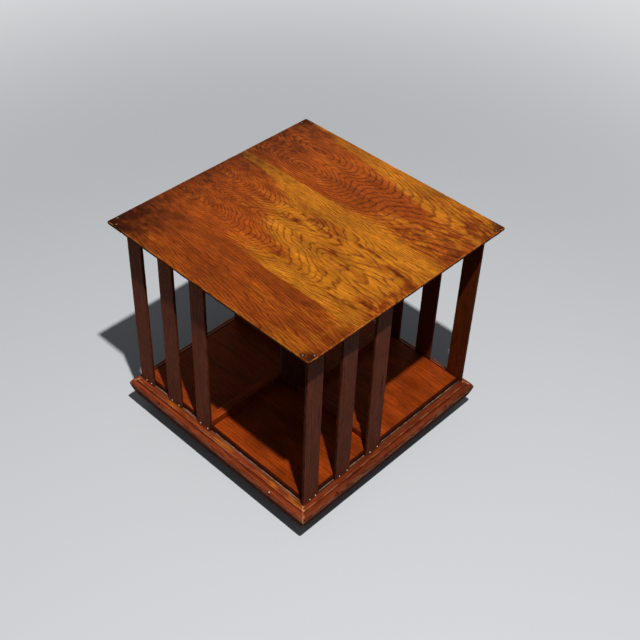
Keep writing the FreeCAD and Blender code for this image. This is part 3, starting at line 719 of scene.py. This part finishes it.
# Stained oak without polish: dull, close-grained and brown. Its inner face gets a darker, redder
# pair of colours, which is painted shade for the dark inside of the case.
slat_oak = oak("dark_stained_oak", "#773c28", "#632f1f", "#3a1a12", "#8a5336", ring_mm=2.6,
               mottle=0.14, rough=0.55, sap_and_shade=("#5f270c", "#52210a"))
SLAT_RADIUS = 0.7           # mm
UP, EAST, NORTH = (0, 0, 1), (1, 0, 0), (0, 1, 0)
slats = sorted(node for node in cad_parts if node.startswith("slat_") and node[-1].isdigit())
for count, node in enumerate(slats):
    across = EAST if "front" in node or "back" in node else NORTH
    bar_piece(node + "_oak", node, UP, across, SLAT_RADIUS, 20 + count, slat_oak, 0.25)
print(len(slats), "slats of", np.round(box_mm(slats[0])[1] - box_mm(slats[0])[0], 1), "mm")

# %% The battens on the floor
# Floor, battens and moulding had the same shellac as the top, over darker wood.
floor_finish = dict(clear="#8b360c", porous="#7b2f0b", pore="#58240a", worn="#a9693a",
                    mottle=0.34, streak=0.18, rough=0.42, gloss=0.1)
batten_oak = oak("varnished_oak_battens", ring_mm=3.4, **floor_finish)
BATTEN_RADIUS = 1.0         # mm
for count, side in enumerate(SIDES):
    along, across = (NORTH, EAST) if side in ("front", "back") else (EAST, NORTH)
    bar_piece("batten_" + side, "divider_" + side, along, across, BATTEN_RADIUS, 40 + count,
              batten_oak, 0.5)
print(len(SIDES), "battens")

# %% [markdown]
# ## The base moulding
# A base moulding is run with a shaped plane: a hollow band at the top, a narrow quirk, a rounded
# nose and a long curve to the toe. The profile is a closed loop of points, and the length of the
# piece depends on how far out each of them stands, which cuts the mitres by itself: a point that
# stands out by r goes r further along. A little of each mitre is rubbed round.

# %% The profile of the moulding
def arc(start, end, bulge, count):
    """Points from start towards end on a parabola that stands out by `bulge` in its middle."""
    start, end = np.array(start, float), np.array(end, float)
    t = np.linspace(0, 1, count, endpoint=False)[:, None]
    chord = end - start
    side = np.array([-chord[1], chord[0]]) / np.hypot(*chord)
    return start + t * chord + 4 * bulge * t * (1 - t) * side


moulding_low, moulding_high = box_mm("base_moulding_front")
REACH = moulding_high[1] - moulding_low[1]
HEIGHT = moulding_high[2] - moulding_low[2]
BAND = (5.4, 4.0)           # the hollow band: out by, and down by
QUIRK = (0.7, 1.5)          # the step below the band: out by, and down by
BAND_UP = HEIGHT - BAND[1]  # where the band ends
NOSE_UP = HEIGHT - 11.6     # where the nose is widest
NOSE_FLAT = 1.2
TOE = 5.4                   # how far out the lower edge is


def moulding_profile():
    """The section as (out, up) pairs: from the inner top round the face, under, and back up."""
    band = (BAND[0], BAND_UP)
    quirk = (BAND[0], band[1] - QUIRK[1])
    start = (BAND[0] + QUIRK[0], quirk[1])
    nose = (REACH, NOSE_UP)
    flat = (REACH, nose[1] - NOSE_FLAT)
    return np.concatenate([
        arc((0, HEIGHT), band, -0.5, 8), arc(band, quirk, 0.0, 3), arc(quirk, start, 0.0, 3),
        arc(start, nose, 0.2 * math.dist(start, nose), 14), arc(nose, flat, 0.0, 3),
        arc(flat, (TOE, 0), 0.9, 14), arc((TOE, 0), (0, 0), 0.0, 4),
        arc((0, 0), (0, HEIGHT), 0.0, 8)])


profile = moulding_profile()
print("the profile has", len(profile), "points and reaches", profile[:, 0].max().round(2), "mm out")

# %% Four lengths of moulding
# The base's moulding: shellac as on the top, but redder, and rubbed pale where dusters touch it.
moulding_oak = oak("varnished_oak_moulding", "#8c3a1c", "#722c16", "#2f150b", "#c8906a",
                   ring_mm=3.4, gloss=0.05, sap_and_shade=("#b4611a", "#944914"))
GOLDEN = {"front": 0.25, "right": -0.2, "back": 0.2, "left": 0.2}       # the sapwood in the band
NOSE_SHADE = {"front": 0.12, "right": 0.38, "back": 0.2, "left": 0.2}   # the nose is darker by this
ROWS = 241                  # along each length
MITRE_RUB = 0.5             # mm: how far the mitred corners are rubbed in
PUNCH_STAIN = 2.5           # mm
DRAWN_OUT = 0.5             # straight-grained stock: its marks run twice as long


def bell(values, middle, width):
    """exp(-((v - middle) / width)^2): 1 at the middle, and near 0 from twice the width on."""
    return np.exp(-((values - middle) / width) ** 2)


def moulding(turns):
    """One length, turned by quarters: x = s (inner half + out), with s from -1 to 1."""
    out, up = profile[:, 0], profile[:, 1]
    inner, face, proud = -moulding_high[1], out > 0.5, out > 2
    s = np.linspace(-1, 1, ROWS)[:, None]
    side, seed = SIDES[turns], 90 + turns
    near_end = ramp(3.0, 0.0, (1 - np.abs(s)) * inner) * face
    nose = bell(up, NOSE_UP + 1, 3.0) * proud
    lip = bell(up, BAND_UP, 0.6) * proud
    edge = bell(up, NOSE_UP - NOSE_FLAT / 2, 0.9) * proud
    dents = (0.45 * ramp(0.3, 0.9, noise(s * 40 + seed, up / 5, seed + 4, 2))
             + 0.08 * np.abs(noise(s * 26 + seed, up / 6, seed, 2))) * nose
    stand = out - (MITRE_RUB * near_end + dents) * face
    x, y = s * (inner + stand), -(inner + stand)
    cos, sin = (1, 0, -1, 0)[turns], (0, 1, 0, -1)[turns]
    points = np.stack([x * cos - y * sin, x * sin + y * cos, moulding_low[2] + up + 0 * s], -1)
    # Painted shade: the quirk and the underside below the nose are darkened, where shade falls.
    quirk = 0.55 * bell(up, BAND_UP - QUIRK[1], 0.4) * proud
    under = 0.62 * ramp(NOSE_UP - NOSE_FLAT - 0.8, NOSE_UP - 4.5, up)
    stain = iron_stain(points, "moulding_nails", PUNCH_STAIN)
    band = ramp(BAND_UP - 1, BAND_UP, up)
    sap_and_shade = ((GOLDEN[side] + 0.12 * s) * band - 0.35 * (1 - band)
           + 0.5 * noise(s * 9 + seed, up / 9, seed + 2, 2))
    return points, {"grain": np.stack([DRAWN_OUT * x + 400 * turns, up + 0 * s, stand], -1),
                    "ring": up * 1.1 - 0.5 * out + 5 * noise(s * 2 + seed, up / 14, seed + 9),
                    "tone": SIDE_TONE[side] * (1 - NOSE_SHADE[side] * nose - 0.06 * band),
                    "sap_and_shade": sap_and_shade, "grime_and_shade": np.maximum(np.maximum(quirk, under), stain),
                    "arris": np.clip(0.2 * nose + 0.3 * lip + 0.4 * edge + near_end, 0, 1)}


for turns, side in enumerate(SIDES):
    points, numbers = moulding(turns)
    faces = [face[::-1] for face in tube_faces(*points.shape[:2])]      # so that they point outwards
    add_piece("moulding_" + side, points, faces, moulding_oak, "case",
              "base_moulding_" + side, numbers)
print("four mouldings of", points.shape[0] * points.shape[1], "points")

# %% [markdown]
# ## Brads and other metal
# The brads were driven nearly flush and have been rubbed bright by dusters since. A head is a low
# dome, turned from a half-round profile, with a short skirt that goes into the wood. The swivel's
# plates, spindle and screws keep their CAD shapes. Bare metal is never one colour: fingers and damp
# leave marks, so its tint and its roughness both follow a fine noise.

# %% Metal
def metal(name, bright, dull, rough, metallic=1.0, relief_mm=0.02, mark_mm=1.2):
    """Bare or blackened metal with marks of about mark_mm in its tint, roughness and relief."""
    material, tree = new_material(name)
    where = add(tree, "TexCoord").outputs["Object"]
    marks = add(tree, "TexNoise", None, where, Scale=1 / (mark_mm * MM), Detail=3.0, Roughness=0.6)
    share = add(tree, "MapRange", SMOOTH, marks, 0.3, 0.75, 0.0, 0.6)
    tint = add(tree, "Mix", MIX, share, linear(bright), linear(dull))
    matt = add(tree, "MapRange", SMOOTH, marks, 0.2, 0.8, rough - 0.08, rough + 0.12)
    bump = add(tree, "Bump", None, Strength=0.5, Distance=relief_mm * MM, Height=marks)
    shader = add(tree, "BsdfPrincipled", None, Base_Color=tint, Roughness=matt,
                 Metallic=metallic, Normal=bump)
    add(tree, "OutputMaterial", None, shader)
    return material


# Mild steel rubbed bright, but pitted: it glints without mirroring.
brad_steel = metal("bright_steel_brads", "#efe4d6", "#a3968a", 0.42, metallic=0.45)
# The brads of the top lie under the shellac and have browned with it.
dull_steel = metal("browned_steel_brads", "#7d6654", "#463226", 0.55, metallic=0.4)
print("made", brad_steel.name, "and", dull_steel.name)

# %% Domed heads for the brads
DOME, SKIRT = 0.45, 1.2     # mm: the height of a head, and how deep its skirt goes


def domes(places, facing, radius):
    """A dome per place: rings at r = R sin(q), up h cos(q), q from 0 to 90 degrees, and a skirt.

    The first ring is so small that its points are welded into the pole.
    """
    q = np.radians([0.1, 30, 60, 90])
    rings = np.stack([radius * np.sin(q), DOME * np.cos(q)], 1)
    out, high = np.concatenate([rings, [[radius, -SKIRT]]])[::-1].T[..., None, None]
    turn = np.radians(np.arange(0, 360, 36))
    other = np.where(np.abs(facing[:, 2:]) > 0.5, EAST, UP)
    side = np.cross(other, facing)[:, None, None]
    up = facing[:, None, None]
    spoke = np.cos(turn)[:, None] * side + np.sin(turn)[:, None] * np.cross(up, side)
    return places[:, None, None] - DOME * up + out * spoke + high * up


# The moulding's nails are punched below the face and filled. One at the front has worked its way out.
places, facing = NAILS["moulding_nails"]
worked_out = np.where((facing[:, 1] < 0) & (places[:, 0] > 0), 0.5, -0.5)[:, None]      # mm

for name, node, radius, proud in (
        ("slat_brads", "slat_nails", 1.25, 0), ("corner_brads", "corner_nails", 1.3, 0),
        ("moulding_brads", "moulding_nails", 1.2, worked_out),
        ("cleat_brads", "cleat_nails", 1.3, 0)):
    places, facing = NAILS[node]
    grid = domes(places + proud * facing, facing, radius)
    size = grid.shape[1] * grid.shape[2]
    faces = [[corner + index * size for corner in face] for index in range(len(grid))
             for face in tube_faces(*grid.shape[1:3])]
    steel = dull_steel if name == "corner_brads" else brad_steel
    add_piece(name, grid, faces, steel, "case", node)
    print(name, len(grid), "heads")

# %% [markdown]
# ## The CAD pieces that stay
# Rails, floor, column, cleats, foot and swivel keep their CAD meshes, whose shape is right. Wood
# that runs along X needs no turn. The grain of a rail along Y is turned a quarter about Z, the
# column's a quarter about Y, and that of the foot's halved arms an eighth and three eighths. The floor
# is darker along its edge, from dirt and from painted shade in the gap to the edge rails, and the
# edge rails are rubbed pale in the strip beside it.

# %% Wood for the CAD pieces
ALONG_X, ALONG_Y, ALONG_Z = (0, 0, 0), (0, 0, -90), (0, 90, 0)
FLOOR_HALF = box_mm("floor_board_front")[1][0]
# The floor darkens in its last few millimetres: dirt, and painted shade in the gap to the edge rails.
floor_dirt_and_shade = (FLOOR_HALF - 4.5, FLOOR_HALF - 1.5, 1.1)      # from, to and strength
floor_x = oak("varnished_oak_floor", turn=ALONG_X, ring_mm=6.0, dirt_and_shade=floor_dirt_and_shade, **floor_finish)
# The edge rails only show a strip that hands and books have rubbed grey.
rail_finish = dict(pore="#2a1510", worn="#bd9a80", rough=0.55, gloss=0.08,
                   wear=(FLOOR_HALF + 1.5, FLOOR_HALF + 0.6, 1.0))
# Plain planed oak that was only stained: the frame under the top and the cleats, out of sight.
frame_finish = dict(clear="#6c3b23", porous="#4c2817", pore="#26130b", worn="#8b5c38",
                    ring_mm=3.5, rough=0.6)
# The same wood with a little wax, coloured dark: painted shade for the column and the foot, which
# stand in the shade inside and under the case.
painted_shade_finish = dict(clear="#4a2417", porous="#2e150f", pore="#160a07", worn="#6b4430", gloss=0.08)
rail_x = oak("worn_oak_edge_x", "#724430", "#5a3020", turn=ALONG_X, **rail_finish)
rail_y = oak("worn_oak_edge_y", "#57301f", "#452214", turn=ALONG_Y, **rail_finish)
frame_x = oak("plain_oak_rail_x", turn=ALONG_X, **frame_finish)
frame_y = oak("plain_oak_rail_y", turn=ALONG_Y, **frame_finish)
column_z = oak("painted_shade_oak_column", turn=ALONG_Z, **painted_shade_finish)
arm_lower = oak("painted_shade_oak_arm_lower", turn=(0, 0, -45), **painted_shade_finish)
arm_upper = oak("painted_shade_oak_arm_upper", turn=(0, 0, -135), **painted_shade_finish)
# Beech turned and stained black: a close even wood with a hard wax shine.
button_black = oak("ebonised_beech", "#1b120f", "#120b09", "#080505", "#3a2a22", mottle=0.1,
                   rough=0.35, gloss=0.4, turn=ALONG_X)
print("the floor is", round(2 * FLOOR_HALF, 1), "mm wide")

# %% Metal for the swivel, and everything goes on
plain_steel = metal("plain_steel_screws", "#8c8780", "#5c564f", 0.42)
turned_steel = metal("turned_steel", "#a5a29c", "#77736c", 0.3)
cast_iron = metal("blackened_cast_iron", "#1c1b1a", "#2e2a27", 0.62, 0.4, relief_mm=0.08, mark_mm=2.0)
brass = metal("turned_brass", "#c9a357", "#8f6d33", 0.33)

dress = {
    floor_x: ("floor_board_front", "floor_board_back"), column_z: ("column",),
    rail_x: ("edge_rail_front", "edge_rail_back"), rail_y: ("edge_rail_right", "edge_rail_left"),
    frame_x: ("top_rail_front", "top_rail_back"),
    frame_y: ("top_rail_right", "top_rail_left", "bearing_rail", "cleat_left", "cleat_right"),
    arm_lower: ("foot_arm_lower",), arm_upper: ("foot_arm_upper",), button_black: ("foot_buttons",),
    turned_steel: ("spindle", "bearing_plate"), cast_iron: ("spindle_plate",),
    brass: ("top_bush", "thrust_washer"),
    plain_steel: ("bearing_plate_screws", "spindle_plate_screws")}
for material, nodes in dress.items():
    for node in nodes:
        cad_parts[node].data.materials[0] = material
print(sum(map(len, dress.values())), "CAD pieces have their materials")

# %% [markdown]
# ## Floor, light and camera
# The stage is plain: a pale floor that fades into a pale surround. One soft lamp stands high on the
# right, in front, and the surround fills in. What the camera sees of the floor and the surround, and
# what gloss mirrors of them, is much paler than what lights the object. That keeps the background
# bright and the shadows deep.

# %% The pale stage
def camera_sees(tree, lit, seen):
    """The first shader for light; the second for the camera, mirrors and glass."""
    path = add(tree, "LightPath")
    share = path.outputs["Is Camera Ray"]
    for kind in ("Is Glossy Ray", "Is Transmission Ray"):
        share = add(tree, "Math", {"operation": "MAXIMUM"}, share, path.outputs[kind])
    return add(tree, "MixShader", None, share, lit, seen)


STAGE_HALF = 6000.0         # mm: far past the edge of the view
FADE = (600.0, 1800.0)      # mm from the middle: where the floor fades into the surround
SURROUND = "#dadcde"
FLOOR_LIT, FLOOR_SEEN = "#606366", "#ced0d2"    # what lights the object, and what the camera sees
FILL, FILL_STRENGTH = "#e8eef5", 0.12
corners = np.array([[-1, -1, 0], [1, -1, 0], [1, 1, 0], [-1, 1, 0]]) * STAGE_HALF * MM
stage_mesh = bpy.data.meshes.new("stage_floor")
stage_mesh.from_pydata(corners.tolist(), [], [[0, 1, 2, 3]])
stage_floor = add_object("stage_floor", stage_mesh)
stage_material, tree = new_material("pale_matt_floor")
grey = add(tree, "BsdfDiffuse", None, linear(FLOOR_LIT))
pale = add(tree, "BsdfDiffuse", None, linear(FLOOR_SEEN))
haze = add(tree, "Emission", None, linear(SURROUND), 1.0)
where = add(tree, "TexCoord").outputs["Object"]
away = add(tree, "VectorMath", {"operation": "LENGTH"}, where).outputs["Value"]
far = add(tree, "MapRange", SMOOTH, away, FADE[0] * MM, FADE[1] * MM)
seen = add(tree, "MixShader", None, far, pale, haze)
add(tree, "OutputMaterial", None, camera_sees(tree, grey, seen))
stage_mesh.materials.append(stage_material)
stage_floor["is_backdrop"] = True

world = bpy.data.worlds.new("pale_surround")
bpy.context.scene.world = world
world.use_nodes = True
tree = world.node_tree
tree.nodes.clear()
fill = add(tree, "Background", None, linear(FILL), FILL_STRENGTH)
backdrop = add(tree, "Background", None, linear(SURROUND), 1.0)
add(tree, "OutputWorld", None, camera_sees(tree, fill, backdrop))
print("stage and surround are ready")

# %% The lamp
LAMP_DIRECTION = Vector((0.337, -0.223, 1.0)).normalized()
LAMP_DISTANCE = 3.0         # m
LAMP_SIZE = 0.07            # m across: shadows keep an edge, but a soft one
LAMP_POWER = 84.0           # W
lamp_data = bpy.data.lights.new("soft_lamp", "AREA")
lamp_data.shape = "DISK"
lamp_data.size = LAMP_SIZE
lamp_data.energy = LAMP_POWER
lamp = add_object("soft_lamp", lamp_data)
lamp.location = LAMP_DIRECTION * LAMP_DISTANCE
lamp.rotation_euler = LAMP_DIRECTION.to_track_quat("Z", "Y").to_euler()
print("the lamp stands", round(math.degrees(math.asin(LAMP_DIRECTION.z))), "degrees high")

# %% The camera
AZIMUTH, ELEVATION, ROLL = 42.53, 41.91, 2.42   # degrees
EYE = (0.7985, -0.8380, 1.2167)                 # m
LENS, SENSOR = 61.82, 36.0                      # mm
# An unturned camera looks straight down. It is rolled, then tipped up, then swung round the case.
turn = Matrix.Identity(4)
for angle, axis in ((AZIMUTH, "Z"), (90 - ELEVATION, "X"), (ROLL, "Z")):
    turn = turn @ Matrix.Rotation(math.radians(angle), 4, axis)
camera_data = bpy.data.cameras.new("camera")
camera_data.lens = LENS
camera_data.sensor_width = SENSOR
camera = add_object("camera", camera_data)
camera.matrix_world = Matrix.Translation(EYE) @ turn
bpy.context.scene.camera = camera
bpy.context.scene.view_settings.view_transform = "Standard"
print("the camera looks down by", ELEVATION, "degrees")

# %% [markdown]
# Last, the size of the dressed model is printed, in millimetres.

# %% Sizes, and the end
low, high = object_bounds()
print("the visual model measures", [round((b - a) / MM, 1) for a, b in zip(low, high)], "mm")
